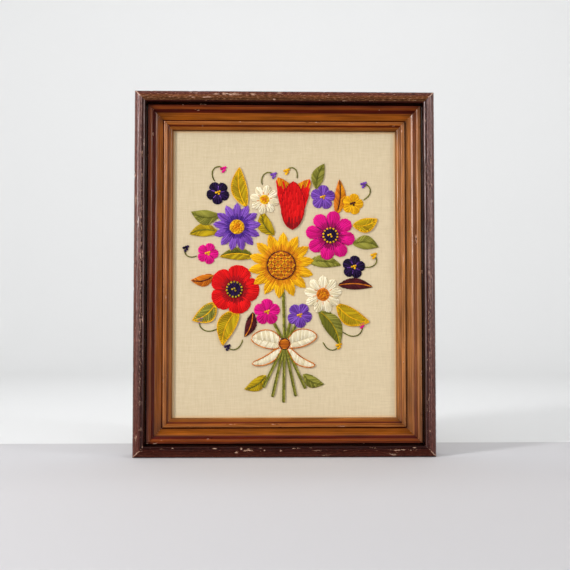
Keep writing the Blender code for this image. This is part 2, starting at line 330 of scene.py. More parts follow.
# Darkening, from 0 to 1: painted shade over the bottom rail's outer bead, which faces down, dirt in the
# corners of the rest with their reach, and painted shade along the top rail's inner edge, which faces down,
# with its place across the face
BOTTOM_PAINTED_SHADE = 0.42
CORNER_GRIME = 0.65
CORNER_GRIME_REACH = 6.0
TOP_EDGE_PAINTED_SHADE = 0.75
TOP_SHADE_BAND = (43.5, 44.2)
# Depth of a chip on the outer bead and elsewhere, of a dent and of the planed surface's ripple
BEAD_CHIP_DEPTH = 0.5
CHIP_DEPTH = 0.2
DENT_DEPTH = 0.9
RIPPLE_DEPTH = 0.05
# Patterns of the finish: length along the grain and width across it in metres, detail, roughness. The
# fibre is a little coarser than real so that it shows, and the flecks are chips and scratches
GRAIN_PATTERNS = (
    (0.06, 0.0012, 4.0, 0.5),
    (0.05, 0.005, 4.0, 0.5),
    (0.0045, 0.0011, 5.0, 0.65),
)
# How much the wear helps a fleck to go through to bare wood
WEAR_SHARE = 0.46
RAW_WOOD_COLOURS = ("A0745A", "D6B6A2")


def arc(start, end, rise, steps):
    """Points after start along a shallow arc to end that rises above its chord."""
    if rise == 0:
        return [end]
    along = Vector(end) - Vector(start)
    over = Vector((-along.y, along.x)).normalized()
    half = along.length / 2
    radius = (half * half + rise * rise) / (2 * abs(rise))
    reach = math.asin(min(1.0, half / radius))
    points = []
    for step in range(1, steps + 1):
        angle = -reach + 2 * reach * step / steps
        lift = radius * math.cos(angle) - (radius - abs(rise))
        place = (Vector(start) + Vector(end)) / 2 + along.normalized() * radius * math.sin(angle)
        points.append(tuple(place + over * math.copysign(lift, rise)))
    return points


def moulding_section():
    """Closed section of the moulding, its outer side split so that wear can reach round it."""
    section = [(0.0, 0.0), (0.0, 10.0), (0.0, 20.0), (0.0, 27.0)]
    for across, height, rise in MOULDING_FACE:
        section.extend(arc(section[-1], (across, height), rise, ARC_STEPS))
    rabbet_side = MOULDING_WIDTH - RABBET_WIDTH
    return [*section, (MOULDING_WIDTH, RABBET_HEIGHT), (rabbet_side, RABBET_HEIGHT), (rabbet_side, 0.0)]


def varnished_wood(name, specular):
    """Stained softwood: bands of stain across the moulding, grain along it, bare wood where rubbed."""
    made, tree, shader = new_material(name)
    grain = add_node(tree, "ShaderNodeUVMap", {}, uv_map="grain")
    parts = add_node(tree, "ShaderNodeSeparateXYZ", {"Vector": grain.outputs["UV"]})
    share = add_node(
        tree, "ShaderNodeMath", {0: parts.outputs["Y"], 1: MOULDING_WIDTH * MM}, operation="DIVIDE"
    )
    stain = add_node(tree, "ShaderNodeValToRGB", {"Fac": share.outputs[0]})
    ramp = stain.color_ramp
    ramp.elements[0].color = linear(STAIN[0][2])
    ramp.elements[1].color = linear(STAIN[-1][2])
    for start, end, colour in STAIN:
        for across in (start, end):
            if 0 < across < MOULDING_WIDTH:
                ramp.elements.new(across / MOULDING_WIDTH).color = linear(colour)
    patterns = []
    for long, wide, detail, roughness in GRAIN_PATTERNS:
        stretched = add_node(
            tree, "ShaderNodeMapping", {"Vector": grain.outputs["UV"], "Scale": (1 / long, 1 / wide, 1)}
        )
        patterns.append(
            add_node(
                tree, "ShaderNodeTexNoise",
                {"Vector": stretched.outputs[0], "Scale": 1.0, "Detail": detail, "Roughness": roughness},
            )
        )
    fibre, blotch, fleck = patterns
    streak = add_node(
        tree, "ShaderNodeMapRange",
        {"Value": fibre.outputs["Fac"], "From Min": 0.3, "From Max": 0.7, "To Min": 0.66, "To Max": 1.3},
    )
    uneven = add_node(
        tree, "ShaderNodeMapRange",
        {"Value": blotch.outputs["Fac"], "From Min": 0.3, "From Max": 0.7, "To Min": 0.72, "To Max": 1.26},
    )
    tone = add_node(
        tree, "ShaderNodeMath", {0: streak.outputs[0], 1: uneven.outputs[0]}, operation="MULTIPLY"
    )
    # Flecks of bare wood, thick where the wear attribute is high
    wear = add_node(tree, "ShaderNodeAttribute", {}, attribute_name="wear")
    rubbed = add_node(
        tree, "ShaderNodeMath",
        {0: wear.outputs["Fac"], 1: WEAR_SHARE, 2: fleck.outputs["Fac"]}, operation="MULTIPLY_ADD",
    )
    bare = add_node(
        tree, "ShaderNodeMapRange",
        {"Value": rubbed.outputs[0], "From Min": 0.79, "From Max": 0.88, "To Min": 0.0, "To Max": 0.8},
    )
    # A rubbed finish is mottled lighter and darker before it chips
    mottle = add_node(
        tree, "ShaderNodeMapRange",
        {"Value": fleck.outputs["Fac"], "From Min": 0.42, "From Max": 0.58, "To Min": 0.1, "To Max": 1.95},
    )
    mottled = add_node(
        tree, "ShaderNodeMix", {0: wear.outputs["Fac"], 2: tone.outputs[0], 3: mottle.outputs[0]}
    )
    # Dirt and painted shade darken the stain, painted light makes it paler, and a painted grey reflection
    # lies in patches over both
    # Dirt near the mitres, and painted shade on faces that turn down
    grime_and_shade = add_node(tree, "ShaderNodeAttribute", {}, attribute_name="grime_and_shade")
    clean = add_node(tree, "ShaderNodeMath", {0: 1.0, 1: grime_and_shade.outputs["Fac"]}, operation="SUBTRACT")
    dulled = add_node(
        tree, "ShaderNodeMath", {0: mottled.outputs[0], 1: clean.outputs[0]}, operation="MULTIPLY"
    )
    # Painted light: the stain drawn towards a pale tan where the light from the left falls
    painted_light = add_node(tree, "ShaderNodeAttribute", {}, attribute_name="painted_light")
    lightened = add_node(
        tree, "ShaderNodeMix",
        {0: painted_light.outputs["Fac"], 6: stain.outputs["Color"], 7: linear(PAINTED_LIGHT_COLOUR)}, data_type="RGBA",
    )
    # Painted reflection: a grey sheen in patches over the beads of the upright rails
    painted_sheen = add_node(tree, "ShaderNodeAttribute", {}, attribute_name="painted_sheen")
    patchy = add_node(
        tree, "ShaderNodeMapRange",
        {"Value": fibre.outputs["Fac"], "From Min": 0.35, "From Max": 0.65, "To Min": 0.3, "To Max": 1.7},
    )
    veil = add_node(
        tree, "ShaderNodeMath", {0: painted_sheen.outputs["Fac"], 1: patchy.outputs[0]}, operation="MULTIPLY"
    )
    veiled = add_node(
        tree, "ShaderNodeMix",
        {0: veil.outputs[0], 6: lightened.outputs[2], 7: linear(PAINTED_SHEEN_COLOUR)}, data_type="RGBA",
    )
    toned = add_node(
        tree, "ShaderNodeVectorMath",
        {0: veiled.outputs[2], "Scale": dulled.outputs[0]}, operation="SCALE",
    )
    paler = add_node(
        tree, "ShaderNodeMapRange",
        {"Value": rubbed.outputs[0], "From Min": 0.84, "From Max": 1.02, "To Min": 0.0, "To Max": 1.0},
    )
    raw = add_node(
        tree, "ShaderNodeMix",
        {0: paler.outputs[0], 6: linear(RAW_WOOD_COLOURS[0]), 7: linear(RAW_WOOD_COLOURS[1])},
        data_type="RGBA",
    )
    colour = add_node(
        tree, "ShaderNodeMix",
        {0: bare.outputs[0], 6: toned.outputs[0], 7: raw.outputs[2]}, data_type="RGBA",
    )
    tree.links.new(colour.outputs[2], shader.inputs["Base Color"])
    rough = add_node(
        tree, "ShaderNodeMapRange",
        {"Value": fibre.outputs["Fac"], "From Min": 0.3, "From Max": 0.7, "To Min": 0.15, "To Max": 0.3},
    )
    tree.links.new(rough.outputs[0], shader.inputs["Roughness"])
    relief = add_node(
        tree, "ShaderNodeMath", {0: fibre.outputs["Fac"], 1: bare.outputs[0]}, operation="SUBTRACT"
    )
    bump = add_node(
        tree, "ShaderNodeBump", {"Height": relief.outputs[0], "Strength": 0.5, "Distance": 0.00025}
    )
    tree.links.new(bump.outputs[0], shader.inputs["Normal"])
    # A worn finish glints where it is left and is dull where it is gone
    glint = add_node(tree, "ShaderNodeMath", {0: mottle.outputs[0], 1: specular}, operation="MULTIPLY")
    gloss = add_node(tree, "ShaderNodeMix", {0: wear.outputs["Fac"], 2: specular, 3: glint.outputs[0]})
    tree.links.new(gloss.outputs[0], shader.inputs["Specular IOR Level"])
    return made


# The upright rails keep their gloss. The level ones get a copy of the varnish that reflects far less, a
# painted shade of their reflections that stands in for the dark room above and below them
glossy_wood = varnished_wood("stained and varnished pine", 0.3)
low_reflection_wood = varnished_wood("stained pine with weak reflections", 0.08)

# Back and rabbet of the moulding, planed and left bare
raw_pine, raw_tree, raw_shader = new_material("unfinished pine")
raw_place = add_node(raw_tree, "ShaderNodeUVMap", {}, uv_map="grain")
raw_lines = add_node(
    raw_tree, "ShaderNodeMapping", {"Vector": raw_place.outputs["UV"], "Scale": (1 / 0.08, 1 / 0.0016, 1)}
)
raw_grain = add_node(
    raw_tree, "ShaderNodeTexNoise", {"Vector": raw_lines.outputs[0], "Scale": 1.0, "Detail": 3.0}
)
raw_mix = add_node(
    raw_tree, "ShaderNodeMix",
    {0: raw_grain.outputs["Fac"], 6: linear("9C7548"), 7: linear("CBA573")}, data_type="RGBA",
)
raw_tree.links.new(raw_mix.outputs[2], raw_shader.inputs["Base Color"])
raw_shader.inputs["Roughness"].default_value = 0.8

# Sight edge, stained mid brown and left without varnish, so that it shows no gloss beside the cloth
sight_edge, _, sight_shader = new_material("stained pine without varnish")
sight_shader.inputs["Base Color"].default_value = linear("80501F")
sight_shader.inputs["Roughness"].default_value = 0.95
sight_shader.inputs["Specular IOR Level"].default_value = 0.1

random.seed(3)


def wear_at(chips, distance, across):
    """How worn the finish is at a place on a rail, from 0 to 1."""
    worn = 0.0
    for along, place, half_length, half_width, strength in chips:
        if abs(distance - along) < 2 * half_length and abs(across - place) < 2 * half_width:
            fall = ((distance - along) / half_length) ** 2 + ((across - place) / half_width) ** 2
            worn = max(worn, strength * math.exp(-fall * fall))
    return worn


def place_on_rail(point, corner, along, inward, length):
    """Distance along a rail and across its face from its corner, and distance to the nearer mitre."""
    distance = (point - corner).dot(along)
    across = (point - corner).dot(inward)
    return distance, across, min(distance - across, length - across - distance)


def rail(name, corner, along, inward, length):
    """A length of moulding with its section swept along it, mitred, worn, and its grain laid out."""
    body = bmesh.new()
    section = moulding_section()
    ring = []
    for across, height in section:
        place = corner + inward * across + along * across + Vector((0, BACK_Y / MM - height, 0))
        ring.append(body.verts.new(place))
    body.faces.new(ring)
    swept = bmesh.ops.extrude_face_region(body, geom=body.faces[:])["geom"]
    for vert in swept:
        if isinstance(vert, bmesh.types.BMVert):
            across = (vert.co - corner).dot(inward)
            vert.co += along * (length - 2 * across)
    lengthwise = [
        edge for edge in body.edges
        if abs((edge.verts[0].co - edge.verts[1].co).normalized().dot(along)) > 0.99
    ]
    bmesh.ops.subdivide_edges(body, edges=lengthwise, cuts=int(length / RAIL_STEP), use_grid_fill=True)
    bmesh.ops.recalc_face_normals(body, faces=body.faces)
    body.normal_update()
    chips = [chip[1:] for chip in CHIPS if chip[0] == name]
    for line, count in NICK_LINES:
        for _ in range(count):
            place = random.uniform(4, length - 4)
            chips.append(
                (place, line + random.gauss(0, 0.5), random.uniform(1.0, 9.0), random.uniform(0.4, 0.9),
                 random.uniform(0.4, 0.95))
            )
    wear_layer = body.verts.layers.float.new("wear")
    grime_and_shade_layer = body.verts.layers.float.new("grime_and_shade")
    painted_light_layer = body.verts.layers.float.new("painted_light")
    painted_sheen_layer = body.verts.layers.float.new("painted_sheen")
    shifts = []
    for vert in body.verts:
        distance, across, mitre = place_on_rail(vert.co, corner, along, inward, length)
        height = BACK_Y / MM - vert.co.y
        joint = math.exp(-(mitre / MITRE_WEAR_REACH) ** 2) * (1.0 if across < 9 else 0.55)
        on_bead = height > BEAD_LEVEL and across < BEAD_WIDTH
        worn = wear_at(chips, distance, across) if height > BEAD_LEVEL or across > 1 else 0.0
        handled = HANDLED[name] if on_bead else 0.0
        vert[wear_layer] = min(1.0, max(worn, joint, handled))
        # Painted light on an upright rail is strongest at its middle height, and its painted grey
        # reflection is strongest above it
        from_foot = 0.3 + vert.co.z / PAINTED_LIGHT_FROM_FOOT
        from_top = 0.25 + (OUTER_HEIGHT - vert.co.z) / PAINTED_LIGHT_FROM_TOP
        middle_share = min(1.0, from_foot, from_top)
        upper_share = min(1.0, max(0.0, (vert.co.z - PAINTED_SHEEN_START) / PAINTED_SHEEN_REACH))
        for which, first, last, share in PAINTED_LIGHT_BANDS:
            if which == name and first < across <= last:
                vert[painted_light_layer] = share * (middle_share if along.z else 1.0)
        for which, first, last, top_share, bottom_share in PAINTED_SHEEN_BANDS:
            if which == name and first < across <= last:
                vert[painted_sheen_layer] = bottom_share + (top_share - bottom_share) * upper_share
        patch = 0.5 + 0.9 * noise.noise(vert.co / 11 + Vector((5, 2, 8)))
        # Painted shade on the bottom rail's outer bead and along the top rail's inner edge; dirt near the
        # mitres elsewhere
        if across < GROOVE_END:
            vert[grime_and_shade_layer] = BOTTOM_PAINTED_SHADE if name == "rail_bottom" and across > 3 else 0.0
        elif TOP_SHADE_BAND[0] < across < TOP_SHADE_BAND[1] and name == "rail_top":
            vert[grime_and_shade_layer] = TOP_EDGE_PAINTED_SHADE
        else:
            near_corner = math.exp(-mitre / CORNER_GRIME_REACH)
            vert[grime_and_shade_layer] = CORNER_GRIME * min(1.0, max(0.0, patch)) * near_corner
        dent = noise.noise(vert.co / 5 + Vector((3, 7, 1)))
        sunk = CHIP_DEPTH * worn
        if on_bead:
            sunk = BEAD_CHIP_DEPTH * worn + max(0.0, dent - 0.3) * DENT_DEPTH
        ripple = RIPPLE_DEPTH * noise.noise(vert.co / 14)
        shifts.append((vert, vert.normal * (ripple - sunk)))
    for vert, shift in shifts:
        on_edge = vert.co.y > BACK_Y / MM - 0.1 or vert.is_boundary
        mitre = place_on_rail(vert.co, corner, along, inward, length)[2]
        if not on_edge and mitre > 0.5:
            vert.co += shift
    grain_layer = body.loops.layers.uv.new("grain")
    offset = 0.7 * len(name) + corner.z
    for face in body.faces:
        for loop in face.loops:
            distance, across, _ = place_on_rail(loop.vert.co, corner, along, inward, length)
            loop[grain_layer].uv = (distance * MM + offset, across * MM)
    for face in body.faces:
        middle = face.calc_center_median()
        across = (middle - corner).dot(inward)
        height = BACK_Y / MM - middle.y
        if height < RABBET_HEIGHT + 0.01 and across > 1.0:
            face.material_index = 1
        elif across > MOULDING_WIDTH - 0.2:
            face.material_index = 2
    bmesh.ops.scale(body, vec=(MM, MM, MM), verts=body.verts)
    finish = glossy_wood if along.z else low_reflection_wood
    mesh = mesh_from(body, name + " moulding", [finish, raw_pine, sight_edge])
    mesh.set_sharp_from_angle(angle=math.radians(SHARP_DEGREES))
    made = add_piece(name.replace("rail_", "moulding_"), mesh)
    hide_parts(name)
    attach(made, "root")


ACROSS, UP = Vector((1, 0, 0)), Vector((0, 0, 1))
low_left = Vector((-OUTER_WIDTH / 2, 0, 0))
low_right = Vector((OUTER_WIDTH / 2, 0, 0))
high_left = Vector((-OUTER_WIDTH / 2, 0, OUTER_HEIGHT))
rail("rail_bottom", low_left, ACROSS, UP, OUTER_WIDTH)
rail("rail_top", high_left, ACROSS, -UP, OUTER_WIDTH)
rail("rail_left", low_left, UP, ACROSS, OUTER_HEIGHT)
rail("rail_right", low_right, UP, -ACROSS, OUTER_HEIGHT)


# Mount board
# A plain sheet of brown hardboard that the linen is stretched over. It lies in the frame's rabbet and
# shows only from behind, inside the turned margins.
BOARD_COLOURS = ("6E5236", "8A6A48")

board, board_tree, board_shader = new_material("hardboard")
board_place = add_node(board_tree, "ShaderNodeTexCoord", {})
fibres = add_node(
    board_tree, "ShaderNodeTexNoise",
    {"Vector": board_place.outputs["Object"], "Scale": 420.0, "Detail": 6.0, "Roughness": 0.7},
)
board_mix = add_node(
    board_tree, "ShaderNodeMix",
    {0: fibres.outputs["Fac"], 6: linear(BOARD_COLOURS[0]), 7: linear(BOARD_COLOURS[1])},
    data_type="RGBA",
)
board_tree.links.new(board_mix.outputs[2], board_shader.inputs["Base Color"])
board_bump = add_node(
    board_tree, "ShaderNodeBump",
    {"Height": fibres.outputs["Fac"], "Strength": 0.4, "Distance": 0.0003},
)
board_tree.links.new(board_bump.outputs[0], board_shader.inputs["Normal"])
board_shader.inputs["Roughness"].default_value = 0.85
nodes["mount_board"].data.materials.clear()
nodes["mount_board"].data.materials.append(board)


# Linen
# One piece of unbleached plain-weave linen, stretched over the board with its margins turned to the
# back. Its threads are uneven, with slubs that show as fine streaks both ways.
LINEN_COLOURS = ("CAB794", "D5C3A1")
# Warm colour of the painted shade along the frame's opening
EDGE_SHADE_COLOUR = "E0B47C"
# The painted shade along the frame's opening is full this far from it and ends that far from it, in
# millimetres
EDGE_SHADE_FULL = 0.8
EDGE_SHADE_REACH = 3.0
EDGE_SHADE_SHARE = 0.6
# Painted light over the cloth: its change in brightness for each metre across and up, and its value at the
# frame's foot
LINEN_LIGHT_SLANT = (0.36, 0.0, -0.28)
LINEN_LIGHT_LEVEL = 1.095
THREAD_PITCH = 1.0

linen, linen_tree, linen_shader = new_material("unbleached plain-weave linen")
linen_place = add_node(linen_tree, "ShaderNodeTexCoord", {})
streaks = []
for stretch in ((1 / 0.017, 1 / 0.02, 1 / 0.0012), (1 / 0.0012, 1 / 0.02, 1 / 0.017)):
    stretched = add_node(
        linen_tree, "ShaderNodeMapping", {"Vector": linen_place.outputs["Object"], "Scale": stretch}
    )
    streaks.append(
        add_node(
            linen_tree, "ShaderNodeTexNoise",
            {"Vector": stretched.outputs[0], "Scale": 1.0, "Detail": 3.0, "Roughness": 0.6},
        )
    )
slub = add_node(
    linen_tree, "ShaderNodeMath", {0: streaks[0].outputs["Fac"], 1: streaks[1].outputs["Fac"]},
    operation="ADD",
)
slub_share = add_node(
    linen_tree, "ShaderNodeMapRange",
    {"Value": slub.outputs[0], "From Min": 0.72, "From Max": 1.28, "To Min": 0.0, "To Max": 1.0},
)
linen_mix = add_node(
    linen_tree, "ShaderNodeMix",
    {0: slub_share.outputs[0], 6: linear(LINEN_COLOURS[0]), 7: linear(LINEN_COLOURS[1])},
    data_type="RGBA",
)
# Within a few millimetres of the frame a warm painted shade darkens the cloth: the lip's shadow, tinted by
# the light the wood throws back
linen_edge_shade = add_node(linen_tree, "ShaderNodeAttribute", {}, attribute_name="edge_shade")
linen_tone = add_node(
    linen_tree, "ShaderNodeMix",
    {0: linen_edge_shade.outputs["Fac"], 6: linen_mix.outputs[2], 7: linear(EDGE_SHADE_COLOUR)},
    data_type="RGBA",
)
# Painted light: the cloth is drawn lighter to the right and lower down, and darker towards its upper left
# corner
linen_light_slant = add_node(
    linen_tree, "ShaderNodeVectorMath", {0: linen_place.outputs["Object"], 1: LINEN_LIGHT_SLANT},
    operation="DOT_PRODUCT",
)
linen_light_share = add_node(
    linen_tree, "ShaderNodeMath", {0: linen_light_slant.outputs["Value"], 1: LINEN_LIGHT_LEVEL}, operation="ADD"
)
linen_lit = add_node(
    linen_tree, "ShaderNodeVectorMath",
    {0: linen_tone.outputs[2], "Scale": linen_light_share.outputs[0]}, operation="SCALE",
)
linen_tree.links.new(linen_lit.outputs[0], linen_shader.inputs["Base Color"])
# Plain weave: each thread rises over one crossing and dips under the next. Real threads are 0.7 mm
# apart, drawn here at 1 mm. A wave of half the pitch's frequency changes sign from thread to thread.
weave_place = add_node(linen_tree, "ShaderNodeSeparateXYZ", {"Vector": linen_place.outputs["Object"]})
threads = []
for axis in ("X", "Z"):
    turn = add_node(
        linen_tree, "ShaderNodeMath", {0: weave_place.outputs[axis], 1: math.pi / (THREAD_PITCH * MM)},
        operation="MULTIPLY",
    )
    wave = add_node(linen_tree, "ShaderNodeMath", {0: turn.outputs[0]}, operation="SINE")
    round_thread = add_node(linen_tree, "ShaderNodeMath", {0: wave.outputs[0]}, operation="ABSOLUTE")
    threads.append((wave, round_thread))
over = add_node(
    linen_tree, "ShaderNodeMath", {0: threads[0][0].outputs[0], 1: threads[1][0].outputs[0]},
    operation="MULTIPLY",
)
raised = []
for sign, (wave, round_thread) in zip((0.45, -0.45), threads):
    lift = add_node(
        linen_tree, "ShaderNodeMath", {0: over.outputs[0], 1: sign, 2: 0.55}, operation="MULTIPLY_ADD"
    )
    raised.append(
        add_node(
            linen_tree, "ShaderNodeMath", {0: round_thread.outputs[0], 1: lift.outputs[0]},
            operation="MULTIPLY",
        )
    )
weave = add_node(
    linen_tree, "ShaderNodeMath", {0: raised[0].outputs[0], 1: raised[1].outputs[0]}, operation="MAXIMUM"
)
weave_relief = add_node(
    linen_tree, "ShaderNodeMath", {0: weave.outputs[0], 1: slub.outputs[0]}, operation="ADD"
)
linen_bump = add_node(
    linen_tree, "ShaderNodeBump",
    {"Height": weave_relief.outputs[0], "Strength": 0.6, "Distance": 0.0003},
)
linen_tree.links.new(linen_bump.outputs[0], linen_shader.inputs["Normal"])
linen_shader.inputs["Roughness"].default_value = 0.9
linen_shader.inputs["Specular IOR Level"].default_value = 0.2
linen_shader.inputs["Sheen Weight"].default_value = 0.15


def merged_copy(node):
    """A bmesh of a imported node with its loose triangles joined."""
    body = bmesh.new()
    body.from_mesh(nodes[node].data)
    bmesh.ops.remove_doubles(body, verts=body.verts, dist=0.000005)
    return body


cloth = merged_copy("linen_panel")
bmesh.ops.dissolve_limit(cloth, angle_limit=math.radians(1), verts=cloth.verts, edges=cloth.edges)
folds = [edge for edge in cloth.edges if edge.calc_face_angle(0) > math.radians(60)]
bmesh.ops.bevel(
    cloth, geom=folds, offset=0.4 * MM, segments=2, profile=0.5, affect="EDGES", material=-1,
    offset_type="OFFSET",
)
# Lines across the cloth near the frame's opening carry its painted shade
sight_x = OUTER_WIDTH / 2 - MOULDING_WIDTH
sight_z = OUTER_HEIGHT / 2 - MOULDING_WIDTH
for inset in (-0.5, EDGE_SHADE_FULL, EDGE_SHADE_REACH):
    for axis, reach in ((Vector((1, 0, 0)), sight_x), (Vector((0, 0, 1)), sight_z)):
        for sign in (1, -1):
            cut_at = Vector((0, 0, MIDDLE_Z)) + axis * sign * (reach - inset) * MM
            geometry = cloth.verts[:] + cloth.edges[:] + cloth.faces[:]
            bmesh.ops.bisect_plane(cloth, geom=geometry, plane_co=cut_at, plane_no=axis)
edge_shade = cloth.verts.layers.float.new("edge_shade")
cloth_front = min(vert.co.y for vert in cloth.verts)
for vert in cloth.verts:
    room = min(sight_x - abs(vert.co.x) / MM, sight_z - abs(vert.co.z - MIDDLE_Z) / MM)
    if vert.co.y < cloth_front + 0.5 * MM:
        share = min(1.0, max(0.0, room - EDGE_SHADE_FULL) / (EDGE_SHADE_REACH - EDGE_SHADE_FULL))
        vert[edge_shade] = EDGE_SHADE_SHARE * (1.0 - share)
bmesh.ops.triangulate(cloth, faces=[face for face in cloth.faces if len(face.verts) > 4])
linen_mesh = mesh_from(cloth, "stretched linen", [linen], smooth=False)
linen_piece = add_piece("linen_sheet", linen_mesh)
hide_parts("linen_panel")
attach(linen_piece, "root")
linen_low, linen_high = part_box("linen_panel")

LINEN_Y = linen_low.y


# Yarn
# Two-ply crewel wool. Each stitch is a strand laid over the linen that dips through it at both ends, over
# a thin layer of padding stitches in the same colour.
YARN_RADIUS = 0.9
PADDING_HEIGHT = 0.75
STITCH_HEIGHT = 1.1
HEART_LIFT = 1.1
random.seed(7)


def yarn(name, light, dark):
    """Matt crewel wool that differs a little from strand to strand."""
    made, tree, shader = new_material(name)
    strand = add_node(tree, "ShaderNodeNewGeometry", {})
    mixed = add_node(
        tree, "ShaderNodeMix",
        {0: strand.outputs["Random Per Island"], 6: linear(dark), 7: linear(light)}, data_type="RGBA",
    )
    place = add_node(tree, "ShaderNodeTexCoord", {})
    # Fibres stand out every 0.6 mm or so, coarser than real so that they catch the light
    fibre = add_node(
        tree, "ShaderNodeTexNoise",
        {"Vector": place.outputs["Object"], "Scale": 1600.0, "Detail": 3.0, "Roughness": 0.7},
    )
    shade = add_node(
        tree, "ShaderNodeMapRange",
        {"Value": fibre.outputs["Fac"], "From Min": 0.3, "From Max": 0.7, "To Min": 0.86, "To Max": 1.1},
    )
    toned = add_node(
        tree, "ShaderNodeVectorMath", {0: mixed.outputs[2], "Scale": shade.outputs[0]},
        operation="SCALE",
    )
    tree.links.new(toned.outputs[0], shader.inputs["Base Color"])
    bump = add_node(
        tree, "ShaderNodeBump", {"Height": fibre.outputs["Fac"], "Strength": 0.5, "Distance": 0.0003}
    )
    tree.links.new(bump.outputs[0], shader.inputs["Normal"])
    shader.inputs["Roughness"].default_value = 0.85
    shader.inputs["Specular IOR Level"].default_value = 0.12
    shader.inputs["Sheen Weight"].default_value = 0.04
    shader.inputs["Sheen Roughness"].default_value = 0.6
    return made


YARNS = {
    "gold": yarn("golden yellow crewel wool", "FCC414", "D49404"),
    "amber": yarn("amber crewel wool", "EE9C10", "C47004"),
    "orange": yarn("burnt orange crewel wool", "E2841A", "AE540A"),
    "scarlet": yarn("scarlet crewel wool", "F01416", "CC060A"),
    "crimson": yarn("crimson crewel wool", "B80E18", "84060E"),
    "magenta": yarn("magenta crewel wool", "EA128E", "C0066A"),
    "rose": yarn("deep rose crewel wool", "B80868", "840446"),
    "violet": yarn("violet crewel wool", "905CC6", "623290"),
    "indigo": yarn("indigo crewel wool", "5C329E", "3A1A6C"),
    "plum": yarn("dark plum crewel wool", "2C124A", "120420"),
    "maroon": yarn("maroon crewel wool", "5C1820", "340A0E"),
    "olive": yarn("olive crewel wool", "CCAC12", "967808"),
    "sage": yarn("sage crewel wool", "A29C40", "6E6C22"),
    "moss": yarn("moss crewel wool", "78761F", "505014"),
    "cream": yarn("cream crewel wool", "FAF0D4", "DCCCA4"),
}


def outline_of(node):
    """Outline of a worked area on the linen, in millimetres from the middle of the opening."""
    body = merged_copy(node)
    body.faces.index_update()
    back = max(vert.co.y for vert in body.verts)
    flat = [face for face in body.faces if all(vert.co.y > back - 0.00001 for vert in face.verts)]
    flat_ones = {face.index for face in flat}
    follows = {}
    for face in flat:
        for loop in face.loops:
            if sum(other.index in flat_ones for other in loop.edge.link_faces) == 1:
                follows[loop.vert] = loop.link_loop_next.vert
    outline = []
    while follows:
        vert = next(iter(follows))
        ring = []
        while vert in follows:
            ring.append(Vector((vert.co.x / MM, (vert.co.z - MIDDLE_Z) / MM)))
            vert = follows.pop(vert)
        outline = max(outline, ring, key=len)
    body.free()
    return outline


def crossings(outline, place, way):
    """Distances along a way at which it crosses the outline."""
    found = []
    side = Vector((-way.y, way.x))
    for first, second in zip(outline, outline[1:] + outline[:1]):
        before, after = (first - place).dot(side), (second - place).dot(side)
        if (before > 0) != (after > 0):
            share = before / (before - after)
            found.append((first.lerp(second, share) - place).dot(way))
    return sorted(found)


def edge_distance(outline, place, way):
    """Distance from a place inside the outline to its edge, or 0 from a place outside it."""
    ahead = [distance for distance in crossings(outline, place, way) if distance > 0]
    return ahead[0] if len(ahead) % 2 else 0.0


def straight(start, end, lift=0.0, thick=1.0):
    """One straight stitch as points with heights above the linen and thicknesses."""
    start, end = Vector(start), Vector(end)
    wobble = random.uniform(-0.12, 0.12)
    top = STITCH_HEIGHT + lift + wobble
    dip = min(0.9 / max((end - start).length, 0.1), 0.3)
    shares = (0.0, dip, 0.5, 1 - dip, 1.0)
    heights = (top - 0.85, top - 0.1, top + 0.08, top - 0.1, top - 0.85)
    widths = (0.55, 0.95, 1.05, 0.95, 0.55)
    return [
        (start.lerp(end, share), height, width * thick)
        for share, height, width in zip(shares, heights, widths)
    ]


def lifted(stitches, lift):
    """The stitches of a heart, worked higher than the petals round it."""
    return [[(place, height + lift, width) for place, height, width in stitch] for stitch in stitches]


def knot(place, lift=0.0, thick=1.0):
    """A French knot: the strand wound nearly twice round and drawn down through its own middle."""
    steps = 18
    points = []
    first = random.uniform(0, math.tau)
    for step in range(steps + 1):
        share = step / steps
        angle = first + 1.9 * math.tau * share
        radius = 0.95 * thick * (1 - 0.7 * share * share)
        around = Vector((math.cos(angle), math.sin(angle))) * radius
        points.append((Vector(place) + around, STITCH_HEIGHT + lift - 0.4 + 0.9 * share, 0.72 * thick))
    points.append((Vector(place), STITCH_HEIGHT + lift + 0.1, 0.6 * thick))
    return points


def running_line(points, pitch=3.2, lift=0.0, thick=0.8, slant=0.3):
    """Stem stitch along a line: short stitches, each overlapping the last and a little aslant."""
    stitches = []
    lengths = [0.0]
    for first, second in zip(points, points[1:]):
        lengths.append(lengths[-1] + (second - first).length)

    def at(distance):
        distance = max(0.0, min(lengths[-1], distance))
        index = max(i for i, start in enumerate(lengths) if start <= distance)
        index = min(index, len(points) - 2)
        span = max(lengths[index + 1] - lengths[index], 1e-6)
        return points[index].lerp(points[index + 1], (distance - lengths[index]) / span)

    count = max(1, round(lengths[-1] / pitch))
    for index in range(count):
        start = at(lengths[-1] * index / count)
        end = at(lengths[-1] * (index + 1.45) / count)
        if (end - start).length < 0.4:
            continue
        side = Vector((-(end - start).y, (end - start).x)).normalized() * slant
        stitches.append(straight(start - side, end + side, lift, thick))
    return stitches


def strands_mesh(stitches):
    """The stitches as one mesh of round strands, six-sided with closed ends."""
    line = bpy.data.curves.new("strands", "CURVE")
    line.dimensions = "3D"
    line.bevel_depth = YARN_RADIUS * MM
    line.bevel_resolution = 1
    line.use_fill_caps = True
    for points in stitches:
        spline = line.splines.new("POLY")
        spline.points.add(len(points) - 1)
        for point, (place, height, width) in zip(spline.points, points):
            point.co = (place.x * MM, LINEN_Y - height * MM, MIDDLE_Z + place.y * MM, 1)
            point.radius = width
    holder = bpy.data.objects.new("strands", line)
    bpy.context.scene.collection.objects.link(holder)
    reading = bpy.context.evaluated_depsgraph_get()
    mesh = bpy.data.meshes.new_from_object(holder.evaluated_get(reading))
    bpy.data.objects.remove(holder)
    bpy.data.curves.remove(line)
    return mesh


